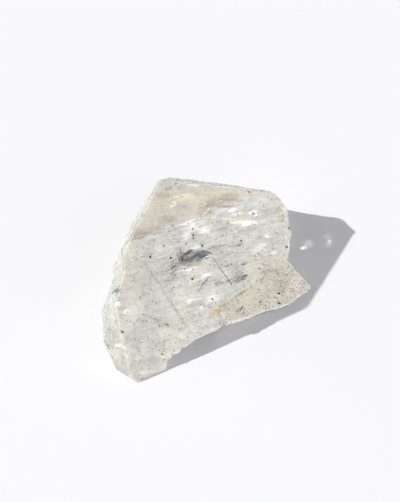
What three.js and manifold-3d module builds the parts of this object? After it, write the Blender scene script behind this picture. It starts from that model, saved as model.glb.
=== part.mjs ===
// A stubby chunk of clear Himalayan quartz, about 55 mm across, lying as it settles on a table.
// It is one solid: a blunt crystal whose three terminal faces meet at an apex on the left, with a
// bulging foot below them and a low side crystal grown onto its right. The terminal faces are flat
// with low growth steps, and the rest of the surface is broken quartz: shell-shaped scars, rippled
// like a cockle, and chipped edges.
import * as THREE from "three";
import { mergeVertices } from "three/addons/utils/BufferGeometryUtils.js";
import Module from "manifold-3d";

const wasm = await Module();
wasm.setup();

// Driving dimensions, in millimetres and degrees, with the table at z = 0.
// A face is given by the way it looks (facing, from +X towards +Y), by its tilt (0 is level, 90 a
// wall, more than 90 an undercut) and by one point that it passes through. These hold for the
// crystal before it is laid down: it then leans forward, about X, and its base is broken off flat.
const LEAN = 4.3;
const BASE_HEIGHT = 2.8;
const APEX = [-19.6, -7.6, 26];
const FACES = {
  rearTerminal: { facing: -19.6, tilt: 26.2, through: APEX },
  frontTerminal: { facing: -33.3, tilt: 38.3, through: APEX },
  leftTerminal: { facing: -59.4, tilt: 38.4, through: APEX },
  // the left side, from the back corner to the foot, and the foot itself
  backCorner: { facing: 136, tilt: 70, through: [-14.4, 13.6, 21] },
  leftSide: { facing: 160.4, tilt: 68.7, through: APEX },
  leftShoulder: { facing: 184, tilt: 81, through: [-24.3, -0.5, 6] },
  leftUndercut: { facing: 170, tilt: 128, through: [-24.5, 0, 4.5] },
  footRear: { facing: 164, tilt: 67.5, through: [-24.6, -10.5, 9.5] },
  footSide: { facing: 185, tilt: 72.6, through: [-26.2, -17.8, 8.3] },
  footUndercut: { facing: 196, tilt: 126, through: [-27.2, -15.6, 4.9] },
  footHeel: { facing: 150, tilt: 125, through: [-25.6, -5, 4.4] },
  footEnd: { facing: -24, tilt: 92, through: [-10.9, -34, 7] },
  // the toe, where the foot and the left terminal run out
  toeLeft: { facing: 204, tilt: 68, through: [-25.8, -25.4, 6.9] },
  toeCorner: { facing: 222, tilt: 60, through: [-23.9, -30.7, 5.8] },
  toeFront: { facing: 240, tilt: 84, through: [-19.9, -34.6, 6] },
  toeTip: { facing: 268, tilt: 86, through: [-15.4, -36.9, 6.3] },
  toeSide: { facing: 305, tilt: 94, through: [-10.8, -36.6, 5] },
  toeUndercut: { facing: 236, tilt: 130, through: [-20.6, -33.8, 6] },
  tipUndercut: { facing: 276, tilt: 128, through: [-15, -36, 6] },
  // the undercut front
  frontUndercut: { facing: -45, tilt: 131, through: [-7.6, -28.9, 7.2] },
  middleUndercut: { facing: -66, tilt: 131, through: [0.2, -22.4, 6.6] },
  // the right end
  rightFall: { facing: 15, tilt: 37, through: [13, 17.7, 15.1] },
  rightBevel: { facing: -10, tilt: 58, through: [20.8, 12.8, 8.4] },
  rightEnd: { facing: -4, tilt: 112, through: [23.4, 10.4, 5.5] },
  rightEndRear: { facing: 21, tilt: 101, through: [22.4, 16.8, 7] },
  rightCorner: { facing: 40, tilt: 92, through: [20.4, 20.1, 9] },
  // the back
  backBevel: { facing: 72, tilt: 39, through: [-4.5, 14.3, 22.6] },
  back: { facing: 92.5, tilt: 76, through: [0, 20.2, 16.7] },
  backUndercut: { facing: 97, tilt: 130, through: [2, 22.6, 3.9] },
  // the side crystal
  ledgeTop: { facing: 41.7, tilt: 8.4, through: [2.9, -15.5, 7.7] },
  ledgeLeft: { facing: 208, tilt: 60, through: [3.8, -17.8, 7.3] },
  ledgeFront: { facing: -69, tilt: 128, through: [13.3, -15.4, 5.6] },
  tipFront: { facing: -51.5, tilt: 128, through: [24.8, -8.3, 4.3] },
  tipRear: { facing: 29, tilt: 108, through: [25.2, -0.4, 4.1] },
  ledgeRear: { facing: 120, tilt: 90, through: [12, 6, 3] },
};

// A scar is a shallow bowl in a face, round the point where the stone was struck, which is the
// point of the face nearest to `near`, most often by an edge. It reaches so far towards `long` and
// so far across that, and its ripples spread from the struck point.
const MAIN_SCARS = [
  // the shell below the ridge between the rear and the front terminal
  { on: "frontTerminal", near: [8, 10.7, 15.7], long: 27, reach: [8, 3], depth: 0.5, ripples: 1 },
  { on: "leftSide", near: [-21.5, 5, 8], long: 70, reach: [11, 10], depth: 0.9, ripples: 4 },
  { on: "back", near: [-4, 20, 2], long: 9, reach: [16.9, 13], depth: 1.5, ripples: 5 },
  { on: "back", near: [19, 22, 10], long: 9, reach: [9.8, 7], depth: 0.7, ripples: 3 },
  { on: "backBevel", near: [-6, 17, 21.5], long: 342, reach: [6.4, 3.2], depth: 0.4, ripples: 1 },
  { on: "backBevel", near: [13, 20, 13.4], long: 342, reach: [5.2, 2.6], depth: 0.35, ripples: 1 },
  { on: "rightCorner", near: [20, 20.5, 5], long: 310, reach: [4.8, 4], depth: 0.5, ripples: 2 },
  { on: "rightEndRear", near: [23.4, 14.6, 4], long: 291, reach: [5.2, 4], depth: 0.5, ripples: 2 },
  { on: "rightEnd", near: [22, 8, 0.5], long: 86, reach: [7.5, 5], depth: 0.7, ripples: 3 },
  { on: "rightBevel", near: [21.6, 10, 6.4], long: 80, reach: [5.3, 2.4], depth: 0.35, ripples: 1 },
  { on: "frontUndercut", near: [-4.5, -22.5, 1], long: 45, reach: [7.6, 5.4], depth: 0.9, ripples: 3 },
  { on: "middleUndercut", near: [6, -17.5, 1], long: 24, reach: [6.2, 4.4], depth: 0.7, ripples: 2 },
];
const FOOT_SCARS = [
  { on: "footRear", near: [-26.6, -9, 3.5], long: 74, reach: [6.6, 5.5], depth: 0.6, ripples: 3 },
  { on: "footSide", near: [-27.8, -15, 2.5], long: 275, reach: [9.6, 8], depth: 0.8, ripples: 4 },
  { on: "toeLeft", near: [-22.5, -30, 6], long: 297, reach: [6.6, 6], depth: 0.7, ripples: 3 },
  { on: "toeTip", near: [-12.6, -36, 6.5], long: 2, reach: [5.9, 4.5], depth: 0.5, ripples: 2 },
];
const SIDE_SCARS = [
  { on: "tipRear", near: [23.6, 4, 3.4], long: 119, reach: [7.4, 4.6], depth: 0.6, ripples: 2 },
  { on: "ledgeFront", near: [15, -12.4, 1], long: 21, reach: [6.5, 3.8], depth: 0.6, ripples: 2 },
  { on: "ledgeFront", near: [14, -15.2, 5.4], long: 21, reach: [4, 1.8], depth: 0.35, ripples: 1 },
];

// A crystal is a rough block cut back to its faces, and then by its notches, each a pair of faces
// that meet in a re-entrant corner, and by its scars. The main crystal and its foot share the
// terminals and the toe, which are cut once the two are joined.
const TERMINALS = ["rearTerminal", "frontTerminal", "leftTerminal"];
const TOE = ["toeLeft", "toeCorner", "toeFront", "toeTip", "toeSide", "toeUndercut", "tipUndercut"];
const LEFT = ["backCorner", "leftSide", "leftShoulder", "leftUndercut"];
const RIGHT = ["rightFall", "rightBevel", "rightEnd", "rightEndRear", "rightCorner"];
const BACK = ["backBevel", "back", "backUndercut"];
const MAIN_CRYSTAL = {
  rough: { min: [-34, -38, 0], max: [30, 32, 30] },
  faces: [...LEFT, ...RIGHT, ...BACK],
  notches: [["frontUndercut", "middleUndercut"]],
  scars: MAIN_SCARS,
};
const FOOT = {
  rough: { min: [-34, -38, 0], max: [-10, 6, 22] },
  faces: ["footRear", "footSide", "footUndercut", "footHeel", "footEnd"],
  notches: [],
  scars: FOOT_SCARS,
};
const SIDE_CRYSTAL = {
  rough: { min: [-6, -26, 0], max: [34, 12, 12] },
  faces: ["ledgeTop", "ledgeLeft", "ledgeFront", "tipFront", "tipRear", "ledgeRear"],
  notches: [],
  scars: SIDE_SCARS,
};

// The growth steps of the front terminal. Each lowers the face by `drop` beyond a line that starts
// `below` the apex and is `turned` a little from the ridge of the rear and the front terminal.
const GROWTH_STEPS = [
  { below: 5.7, drop: 0.1, turned: -5 },
  { below: 11.3, drop: 0.1, turned: -6 },
  { below: 15.8, drop: 0.1, turned: -5.5 },
];

// Chips along the worn edges, each a long, shallow, flat-sided bite, at random from end to end.
// An edge gives the size of its chips, and each chip's measures vary between these shares of it.
const CHIP_SEED = 5;
const CHIP_REACH = [0.5, 1.2];
const CHIP_LENGTH = [2, 4];
const CHIP_THICKNESS = 0.8;
const CHIP_OUTSIDE_EDGE = [0.3, 0.7];
const CHIP_SLANT = [0, 34];
const STONE_MIDDLE_HEIGHT = 8;
const WORN_EDGES = [
  { from: [-12.5, 12.5, 25.3], to: [3.5, 16, 19.4], chips: 5, size: 0.9 },
  { from: [3.5, 16, 19.4], to: [19, 18.9, 12.4], chips: 5, size: 0.9 },
  { from: [-10, 18.8, 20.5], to: [17, 22.6, 10.2], chips: 6, size: 1 },
  { from: [20, 17.6, 11], to: [21.8, 6.4, 4.9], chips: 5, size: 0.7 },
  { from: [-20.6, -12.6, 23.4], to: [-23, -21, 18.2], chips: 3, size: 0.8 },
  { from: [-22.7, -24.2, 16], to: [-20, -32.4, 9.4], chips: 4, size: 0.8 },
  { from: [-18.5, -35, 6.3], to: [-12.4, -34.6, 6.2], chips: 3, size: 0.6 },
  { from: [-10.6, -30.2, 6.9], to: [3.4, -20.4, 6.6], chips: 5, size: 0.7 },
  { from: [5.2, -20, 7.2], to: [21.5, -10.6, 3.8], chips: 5, size: 0.7 },
  { from: [22.6, -9.4, 3.5], to: [27, -5, 2.6], chips: 2, size: 0.5 },
  { from: [-24.4, -1, 6], to: [-22.8, 6.5, 6.5], chips: 2, size: 1 },
];

// A closed mesh as a solid. Its vertices are merged by position first.
const SAME_POINT = 1e-4;
function toSolid(geometry) {
  const bare = geometry.clone();
  bare.deleteAttribute("normal");
  bare.deleteAttribute("uv");
  const merged = mergeVertices(bare, SAME_POINT);
  return new wasm.Manifold(
    new wasm.Mesh({
      numProp: 3,
      vertProperties: new Float32Array(merged.attributes.position.array),
      triVerts: new Uint32Array(merged.index.array),
    }),
  );
}

function toGeometry(solid) {
  const mesh = solid.getMesh();
  const position = new THREE.BufferAttribute(new Float32Array(mesh.vertProperties), 3);
  const index = new THREE.BufferAttribute(new Uint32Array(mesh.triVerts), 1);
  return new THREE.BufferGeometry().setAttribute("position", position).setIndex(index);
}

function radians(degrees) {
  return THREE.MathUtils.degToRad(degrees);
}

function normalOf({ facing, tilt }) {
  const a = radians(facing);
  const t = radians(tilt);
  return new THREE.Vector3(Math.cos(a) * Math.sin(t), Math.sin(a) * Math.sin(t), Math.cos(t));
}

function turnTo(normal) {
  return new THREE.Quaternion().setFromUnitVectors(new THREE.Vector3(0, 0, 1), normal);
}

// The place of a shape modelled about its own origin: its +Z goes up, and its +X lies along.
function frame(at, along, up) {
  const x = along.clone().addScaledVector(up, -along.dot(up)).normalize();
  const origin = new THREE.Vector3(...at);
  return new THREE.Matrix4().makeBasis(x, up.clone().cross(x), up).setPosition(origin);
}

// Everything beyond a plane, as a big block with one side in the plane.
const BLOCK = 120;
function beyond(normal, point) {
  const centre = point.clone().addScaledVector(normal, BLOCK / 2);
  const block = new THREE.BoxGeometry(2 * BLOCK, 2 * BLOCK, BLOCK);
  return toSolid(block.applyQuaternion(turnTo(normal)).translate(...centre));
}

function outsideOf(name) {
  return beyond(normalOf(FACES[name]), new THREE.Vector3(...FACES[name].through));
}

function cutBack(solid, names) {
  let rest = solid;
  for (const name of names) {
    rest = rest.subtract(outsideOf(name));
  }
  return rest;
}

function crystal({ rough, faces, notches, scars }) {
  const size = rough.max.map((high, i) => high - rough.min[i]);
  const middle = rough.max.map((high, i) => (high + rough.min[i]) / 2);
  const block = toSolid(new THREE.BoxGeometry(...size).translate(...middle));
  let solid = cutBack(block, faces);
  for (const [one, other] of notches) {
    solid = solid.subtract(outsideOf(one).intersect(outsideOf(other)));
  }
  scars.forEach((mark, number) => {
    solid = solid.subtract(scar(mark, number));
  });
  return solid;
}

// The growth steps are cut one after another, so that each lies lower than the last.
function cutGrowthSteps(solid) {
  const up = normalOf(FACES.frontTerminal);
  const ridge = normalOf(FACES.rearTerminal).cross(up).normalize();
  const down = ridge.clone().cross(up).normalize();
  let depth = 0;
  let stepped = solid;
  for (const { below, drop, turned } of GROWTH_STEPS) {
    depth += drop;
    const start = new THREE.Vector3(...APEX).addScaledVector(down, below);
    const edge = down.clone().applyAxisAngle(up, radians(turned));
    const lowered = beyond(up, start.clone().addScaledVector(up, -depth));
    stepped = stepped.subtract(lowered.intersect(beyond(edge, start)));
  }
  return stepped;
}

// The bowl of a scar with a plug above it, as a lathe about its own +Z axis. The rim wavers by
// two and by three lobes, so that no two scars are round alike.
const SCAR_SIDES = 24;
const RIPPLE_HEIGHT = 0.1;
const TWO_LOBES = 0.07;
const THREE_LOBES = 0.05;
function scar({ on, near, long, reach, depth, ripples }, number) {
  const [along, across] = reach;
  const rings = 2 * ripples + 4;
  const profile = [new THREE.Vector2(0, -depth)];
  for (let ring = 1; ring <= rings; ring++) {
    const out = ring / rings;
    const floor = -depth * (1 - out * out);
    const ripple = RIPPLE_HEIGHT * depth * Math.sin(2 * Math.PI * ripples * out) * (1 - out);
    profile.push(new THREE.Vector2(across * out, floor + ripple));
  }
  profile.push(new THREE.Vector2(2 * across, across));
  profile.push(new THREE.Vector2(0, across));
  const bowl = new THREE.LatheGeometry(profile, SCAR_SIDES);
  bowl.rotateX(Math.PI / 2);
  const place = bowl.attributes.position;
  for (let i = 0; i < place.count; i++) {
    const angle = Math.atan2(place.getY(i), place.getX(i));
    const two = TWO_LOBES * Math.sin(2 * angle + number);
    const three = THREE_LOBES * Math.sin(3 * angle + 2 * number);
    const waver = 1 + two + three;
    place.setXY(i, (place.getX(i) * waver * along) / across, place.getY(i) * waver);
  }
  const opening = normalOf(FACES[on]);
  const middle = new THREE.Vector3(...near);
  const above = new THREE.Vector3(...FACES[on].through).sub(middle).dot(opening);
  middle.addScaledVector(opening, above);
  const longWay = normalOf({ facing: long, tilt: 90 });
  return toSolid(bowl.applyMatrix4(frame(middle, longWay, opening)));
}

// A repeatable random number from 0 to 1, from the mulberry32 recipe.
function seededRandom(seed) {
  let state = seed;
  return () => {
    state = (state + 0x6d2b79f5) | 0;
    let mixed = Math.imul(state ^ (state >>> 15), 1 | state);
    mixed = (mixed + Math.imul(mixed ^ (mixed >>> 7), 61 | mixed)) ^ mixed;
    return ((mixed ^ (mixed >>> 14)) >>> 0) / 4294967296;
  };
}

function between([low, high], random) {
  return low + (high - low) * random();
}

// Long flat-sided lumps that lie along an edge, a little outside it, and each bite a chip from it.
function chipsAlong({ from, to, chips, size }, random) {
  const start = new THREE.Vector3(...from);
  const run = new THREE.Vector3(...to).sub(start);
  const lumps = [];
  for (let i = 0; i < chips; i++) {
    const place = start.clone().addScaledVector(run, random());
    const outwards = place.clone().setZ(place.z - STONE_MIDDLE_HEIGHT).normalize();
    const reach = size * between(CHIP_REACH, random);
    const lump = new THREE.DodecahedronGeometry(reach);
    lump.rotateX(Math.PI * random());
    lump.rotateY(radians(between(CHIP_SLANT, random)));
    lump.scale(between(CHIP_LENGTH, random), 1, CHIP_THICKNESS);
    place.addScaledVector(outwards, reach * between(CHIP_OUTSIDE_EDGE, random));
    lumps.push(toSolid(lump.applyMatrix4(frame(place, run, outwards))));
  }
  return lumps;
}

// The stone lies on z = 0, with the middle of its outline over the origin. What would be below its
// base is broken off.
function laidDown(solid) {
  const leaning = toGeometry(solid).rotateX(radians(LEAN)).translate(0, 0, -BASE_HEIGHT);
  const broken = beyond(new THREE.Vector3(0, 0, -1), new THREE.Vector3(0, 0, 0));
  const geometry = toGeometry(toSolid(leaning).subtract(broken));
  geometry.computeBoundingBox();
  const { min, max } = geometry.boundingBox;
  return geometry.translate(-(min.x + max.x) / 2, -(min.y + max.y) / 2, 0);
}

let stone = crystal(MAIN_CRYSTAL).add(crystal(FOOT));
stone = cutBack(stone, [...TERMINALS, ...TOE]);
stone = cutGrowthSteps(stone).add(crystal(SIDE_CRYSTAL));
const random = seededRandom(CHIP_SEED);
for (const edge of WORN_EDGES) {
  for (const lump of chipsAlong(edge, random)) {
    stone = stone.subtract(lump);
  }
}

const quartz = new THREE.Mesh(
  laidDown(stone),
  new THREE.MeshStandardMaterial({ color: 0xd9d7d0, roughness: 0.12, metalness: 0 }),
);
quartz.name = "quartz_crystal";

const group = new THREE.Group();
group.add(quartz);
export default group;
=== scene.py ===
# %% [markdown]
# # Dressing a quartz crystal
# The CAD part is one closed solid: a stubby quartz crystal with three terminal faces, a low side
# crystal and broken sides. It already has the right shape and size, so this lesson only gives it
# what makes quartz look like quartz: worn edges, growth ridges, clear and milky zones, veils
# inside, dark wisps and fine threads in the skin, black mineral grains, and crusts of ochre and
# green. Everything is in the frame of the CAD part, in metres, with the table at z = 0. Sizes that
# are easier to read in millimetres are multiplied by MM.

# %% Load the fixed frame
import math
import random

import bmesh
import bpy
from mathutils import Euler, Matrix, Vector, noise
from mathutils.bvhtree import BVHTree


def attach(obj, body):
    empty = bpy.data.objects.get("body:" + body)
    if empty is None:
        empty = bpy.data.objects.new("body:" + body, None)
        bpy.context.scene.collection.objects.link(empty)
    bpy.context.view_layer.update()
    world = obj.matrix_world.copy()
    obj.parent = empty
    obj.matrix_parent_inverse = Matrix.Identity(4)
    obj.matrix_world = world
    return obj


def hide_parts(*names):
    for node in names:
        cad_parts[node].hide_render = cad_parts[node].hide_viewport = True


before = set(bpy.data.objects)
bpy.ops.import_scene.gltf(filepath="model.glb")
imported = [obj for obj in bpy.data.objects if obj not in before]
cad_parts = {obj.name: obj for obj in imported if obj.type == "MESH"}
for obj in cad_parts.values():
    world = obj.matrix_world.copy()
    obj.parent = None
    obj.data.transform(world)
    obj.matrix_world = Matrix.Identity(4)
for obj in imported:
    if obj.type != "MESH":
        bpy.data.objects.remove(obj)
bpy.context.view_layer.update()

MM = 0.001

# %% [markdown]
# ## The camera
# The view is from 48 degrees above, at arm's length through a long lens, so the stone looks almost
# the same as in a parallel view. The camera turns about a point on the table.

# %% Camera
CAMERA_AIM = Vector((-1.95, 14.18, 0)) * MM
CAMERA_ELEVATION = math.radians(47.7)
CAMERA_DISTANCE = 397.2 * MM
CAMERA_LENS = 106

camera = bpy.data.objects.new("camera", bpy.data.cameras.new("camera"))
bpy.context.collection.objects.link(camera)
camera_back = Vector((0, -math.cos(CAMERA_ELEVATION), math.sin(CAMERA_ELEVATION)))
camera.location = CAMERA_AIM + CAMERA_DISTANCE * camera_back
camera.rotation_euler = camera_back.to_track_quat("Z", "Y").to_euler()
camera.data.lens = CAMERA_LENS
bpy.context.scene.camera = camera

# %% [markdown]
# ## Stage and light
# Low daylight from the left throws the long shadow and strikes the steep left side, where it
# creeps on through the milky quartz. A pale sky fills the rest, because clear stone shows little
# but what is round it. The floor lies a hair below the base, so that the two never coincide.

# %% Floor and daylight
FLOOR_SIZE = 4.0
FLOOR_GAP = 0.02 * MM
FLOOR_COLOUR = (0.893, 0.901, 0.937)
DAYLIGHT_ELEVATION = math.radians(26.2)
DAYLIGHT_HEADING = math.radians(3)
DAYLIGHT_WIDTH = math.radians(0.7)
DAYLIGHT_STRENGTH = 4.28
DAYLIGHT_COLOUR = (1.0, 0.985, 0.96)

floor_shape = bmesh.new()
bmesh.ops.create_grid(floor_shape, size=FLOOR_SIZE / 2)
bmesh.ops.translate(floor_shape, verts=floor_shape.verts, vec=(0, 0, -FLOOR_GAP))
floor = bpy.data.objects.new("floor", bpy.data.meshes.new("floor"))
floor_shape.to_mesh(floor.data)
floor_shape.free()
bpy.context.collection.objects.link(floor)


def from_heading(heading, elevation):
    """The direction that leaves the stone to the left, swung towards the back by heading."""
    flat = math.cos(elevation)
    return Vector((-math.cos(heading) * flat, math.sin(heading) * flat, math.sin(elevation)))


def new_lamp(name, kind, strength, colour):
    lamp = bpy.data.objects.new(name, bpy.data.lights.new(name, kind))
    bpy.context.collection.objects.link(lamp)
    lamp.data.energy = strength
    lamp.data.color = colour
    return lamp


def new_sun(name, towards, width, strength, colour):
    sun = new_lamp(name, "SUN", strength, colour)
    sun.rotation_euler = towards.to_track_quat("Z", "Y").to_euler()
    sun.data.angle = width
    return sun


towards_light = from_heading(DAYLIGHT_HEADING, DAYLIGHT_ELEVATION)
new_sun("daylight", towards_light, DAYLIGHT_WIDTH, DAYLIGHT_STRENGTH, DAYLIGHT_COLOUR)
print("daylight comes from", [round(part, 2) for part in towards_light])

# %% [markdown]
# ## Writing shaders as sums
# A pattern such as "milky where the streaks are, but not by the rim" is a sum of fields over the
# surface. A `Field` wraps a node socket, so that such a sum is written as one Python expression
# and each operator adds its Math node.

# %% A socket that can be added and multiplied
class Field:
    def __init__(self, finish, socket):
        self.finish = finish
        self.socket = socket

    def maths(self, operation, *others):
        return self.finish.node("ShaderNodeMath", {"operation": operation}, *others)

    def __add__(self, other):
        return self.maths("ADD", self, other)

    def __sub__(self, other):
        return self.maths("SUBTRACT", self, other)

    def __rsub__(self, other):
        return self.maths("SUBTRACT", other, self)

    def __mul__(self, other):
        return self.maths("MULTIPLY", self, other)

    __radd__ = __add__
    __rmul__ = __mul__

    def clamped(self):
        return self.finish.node("ShaderNodeClamp", {}, self)

    def at_least(self, other):
        return self.maths("MAXIMUM", self, other)

    def rising(self, low, high):
        """0 below low, 1 above high, and a smooth rise between them."""
        settings = {"interpolation_type": "SMOOTHSTEP"}
        return self.finish.node("ShaderNodeMapRange", settings, self, low, high, 0.0, 1.0)


# %% [markdown]
# A `Finish` is a material that is being wired, or the sky. Its one method for nodes takes the
# node's type, its settings, and then a value, a colour or a field for each socket in turn.

# %% A material that is being wired
class Finish:
    def __init__(self, owner, output="ShaderNodeOutputMaterial"):
        self.owner = owner
        owner.use_nodes = True
        self.tree = owner.node_tree
        self.tree.nodes.clear()
        self.output = self.tree.nodes.new(output)
        self.place = self.node("ShaderNodeTexCoord", {}, out="Object")

    def node(self, kind, settings, *values, out=0, **named):
        made = self.tree.nodes.new(kind)
        for key, value in settings.items():
            setattr(made, key, value)
        free = [socket for socket in made.inputs if socket.enabled]
        sockets = list(zip(free, values))
        sockets += [(made.inputs[name.replace("_", " ")], value) for name, value in named.items()]
        for socket, value in sockets:
            if isinstance(value, Field):
                self.tree.links.new(value.socket, socket)
            elif value is not None:
                socket.default_value = value
        shown = [socket for socket in made.outputs if socket.enabled]
        return Field(self, shown[0] if out == 0 else made.outputs[out])

    def vectors(self, operation, *values, out="Vector", **named):
        return self.node("ShaderNodeVectorMath", {"operation": operation}, *values, out=out, **named)

    def colour_mix(self, share, one, other):
        return self.node("ShaderNodeMix", {"data_type": "RGBA"}, share, one, other)

    def local(self, middle, size, turn):
        """The place on the stone, measured from middle along turned axes, in units of size."""
        settings = {"vector_type": "TEXTURE"}
        scale = tuple(side * MM for side in size)
        location = tuple(side * MM for side in middle)
        return self.node("ShaderNodeMapping", settings, self.place, location, turn, scale)

    def noise(self, size, turn=(0, 0, 0), detail=3.0, roughness=0.5, bend=0.0, seed=0.0, out=0):
        """A cloudy pattern from 0 to 1 whose spots are about size, in millimetres."""
        where = self.local((seed, seed, seed), size, turn)
        named = {"Scale": 1.0, "Detail": detail, "Roughness": roughness, "Distortion": bend}
        return self.node("ShaderNodeTexNoise", {}, where, out=out, **named)

    def wobble(self, size, amount):
        """From here on, places are shifted a little by a noise, so that no line is ruled."""
        shift = self.vectors("SUBTRACT", self.noise(size, out="Color"), (0.5, 0.5, 0.5))
        shift = self.vectors("SCALE", shift, Scale=amount * MM)
        self.place = self.vectors("ADD", self.place, shift)

    def near(self, middle, reach, turn=(0, 0, 0)):
        """1 at middle, falling to 0 at the ellipsoid that reaches so far along each turned axis."""
        where = self.local(middle, reach, turn)
        return (1 - self.vectors("LENGTH", where, out="Value")).clamped()

    def largest(self, fields):
        most = fields[0]
        for field in fields[1:]:
            most = most.at_least(field)
        return most

    def painted(self, name):
        """A mask that is stored on the mesh."""
        return self.node("ShaderNodeAttribute", {"attribute_name": name}, out="Fac")

    def ends_in(self, socket, shader):
        self.tree.links.new(shader.socket, self.output.inputs[socket])

    def plain_body(self, colour, roughness):
        """One opaque body that makes up the whole surface."""
        body = self.node("ShaderNodeBsdfPrincipled", {}, Base_Color=colour, Roughness=roughness)
        self.ends_in("Surface", body)


def new_finish(name):
    return Finish(bpy.data.materials.new(name))


# %% [markdown]
# ## Floor and sky
# The sky is what clear stone shows, so it isn't even: it glows round the sun and towards the
# right front, as a room with a bright window and a pale wall does. The camera itself sees a plain
# pale backdrop.

# %% Finishes of the floor and the sky
FLOOR_ROUGHNESS = 0.7
floor_finish = new_finish("floor")
floor_finish.plain_body((*FLOOR_COLOUR, 1), FLOOR_ROUGHNESS)
floor.data.materials.append(floor_finish.owner)

BACKDROP_COLOUR = (0.975, 0.985, 1.0, 1)
SKY_COLOUR = (0.99, 0.982, 0.98, 1)
GLOW_COLOUR = (1.0, 0.985, 0.95, 1)
SKY_EVEN = 0.24
SKY_SEEN = 0.93
WINDOW_GLOW = 1.1
WINDOW_INNER, WINDOW_OUTER = math.radians(12), math.radians(34)
WALL_GLOW = 0.75
WALL_HEADING, WALL_ELEVATION = math.radians(215), math.radians(24)
WALL_INNER, WALL_OUTER = math.radians(15), math.radians(60)

world = bpy.data.worlds.new("pale_sky")
bpy.context.scene.world = world
sky = Finish(world, "ShaderNodeOutputWorld")
sky_way = sky.node("ShaderNodeTexCoord", {}, out="Generated")


def glow(towards, inner, outer):
    facing = sky.vectors("DOT_PRODUCT", sky_way, tuple(towards), out="Value")
    return facing.rising(math.cos(outer), math.cos(inner))


by_window = glow(towards_light, WINDOW_INNER, WINDOW_OUTER)
by_wall = glow(from_heading(WALL_HEADING, WALL_ELEVATION), WALL_INNER, WALL_OUTER)
sky_strength = SKY_EVEN + by_window * WINDOW_GLOW + by_wall * WALL_GLOW
sky_tone = sky.colour_mix(by_window, SKY_COLOUR, GLOW_COLOUR)
lighting = sky.node("ShaderNodeBackground", {}, sky_tone, sky_strength)
backdrop = sky.node("ShaderNodeBackground", {}, BACKDROP_COLOUR, SKY_SEEN)
seen = sky.node("ShaderNodeLightPath", {}, out="Is Camera Ray")
sky.ends_in("Surface", sky.node("ShaderNodeMixShader", {}, seen, lighting, backdrop))

bpy.context.scene.view_settings.view_transform = "Standard"

# %% [markdown]
# ## The directions of the crystal
# Quartz is built of flat faces, so most patterns on it run along a face or an edge. A face is
# named by the way it looks and by its tilt, and the growth streaks run along the ridge between
# the rear and the front terminal, turned by a few degrees in the plane of the front one.

# %% Faces and the way the streaks run
LEAN = Matrix.Rotation(math.radians(4.3), 3, "X")


def looking(facing, tilt):
    """The way a face looks, from its facing and tilt before the crystal leant on its base."""
    a = math.radians(facing)
    t = math.radians(tilt)
    return LEAN @ Vector((math.cos(a) * math.sin(t), math.sin(a) * math.sin(t), math.cos(t)))


REAR = looking(-19.6, 26.2)
FRONT = looking(-33.3, 38.3)
LEFT = looking(-59.4, 38.4)
LEDGE = looking(41.7, 8.4)
STREAKS_FROM_RIDGE = math.radians(-5.5)
ridge = REAR.cross(FRONT).normalized()
streak_way = Matrix.Rotation(STREAKS_FROM_RIDGE, 3, FRONT) @ ridge


def turned(along, up):
    """The rotation whose X axis runs along a direction and whose Z axis is up."""
    x = (along - up * along.dot(up)).normalized()
    return Matrix((x, up.cross(x), up)).transposed().to_euler()


STREAK_TURN = turned(streak_way, FRONT)
print("streaks run along", [round(part, 2) for part in streak_way])

# %% [markdown]
# ## The skin of the stone
# The CAD solid has long thin triangles, which bend badly. A copy is given an even skin first, by
# the voxel Remesh modifier, and then a few rounds of smoothing round its edges by a quarter of a
# millimetre, as handling does, while its flat faces stay flat.

# %% Even skin with worn edges
SKIN_CELL = 0.3 * MM
SAME_POINT = 2e-6
WORN_ROUNDS = 3

rough = bpy.data.objects.new("rough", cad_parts["quartz_crystal"].data.copy())
bpy.context.collection.objects.link(rough)
shape = bmesh.new()
shape.from_mesh(rough.data)
bmesh.ops.remove_doubles(shape, verts=shape.verts, dist=SAME_POINT)
shape.to_mesh(rough.data)
shape.free()
even = rough.modifiers.new("even_skin", "REMESH")
even.mode = "VOXEL"
even.voxel_size = SKIN_CELL
evaluated = rough.evaluated_get(bpy.context.evaluated_depsgraph_get())
skin = bpy.data.meshes.new_from_object(evaluated)
bpy.data.objects.remove(rough)
shape = bmesh.new()
shape.from_mesh(skin)
shape.normal_update()
print("even skin has", len(shape.faces), "faces")

# %% [markdown]
# ## Which part of the surface is which
# The masks that the shaders need are measured from the shape. A point belongs to a terminal face
# if the skin there looks the way that face does, and what belongs to none is broken quartz. The
# broken faces at the front and right are chipped, and those at the left and back are smoother.
# Where the stone is thin, at rims and tips, it is clearer, so a ray through it measures that too.
# How sharp an edge is has to be measured before the edges are worn.

# %% Sharp edges and thin places
FACES = {"rear": REAR, "front": FRONT, "left": LEFT, "ledge": LEDGE}
THIN = 5 * MM
EDGE_SHARPNESS = 6

whole = BVHTree.FromBMesh(shape)
masks = {name: {} for name in [*FACES, "broken", "chipped", "behind", "sunny", "thin", "edge"]}
for vertex in shape.verts:
    turns = [1 - vertex.normal.dot(face.normal) for face in vertex.link_faces]
    masks["edge"][vertex.index] = min(1.0, EDGE_SHARPNESS * max(turns))
    inwards = vertex.co - vertex.normal * 0.5 * SKIN_CELL
    through = whole.ray_cast(inwards, -vertex.normal)[3]
    masks["thin"][vertex.index] = max(0.0, 1 - (through or THIN) / THIN)
for _ in range(WORN_ROUNDS):
    bmesh.ops.smooth_vert(
        shape, verts=shape.verts, factor=0.5, use_axis_x=True, use_axis_y=True, use_axis_z=True
    )
shape.normal_update()

# %% [markdown]
# ## Relief
# Broken quartz carries fine hackle lines and lumps, edges lose small crumbs, and the terminal
# faces have low growth ridges along the streaks. All of it is moved into the skin itself, by
# fractions of a millimetre, so that it is there from every side. The masks of the faces are
# measured in the same pass, and so is the mask of the daylight: how squarely it strikes the skin,
# where no other part of the stone stands in its way. What rests on the table stays flat.

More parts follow.
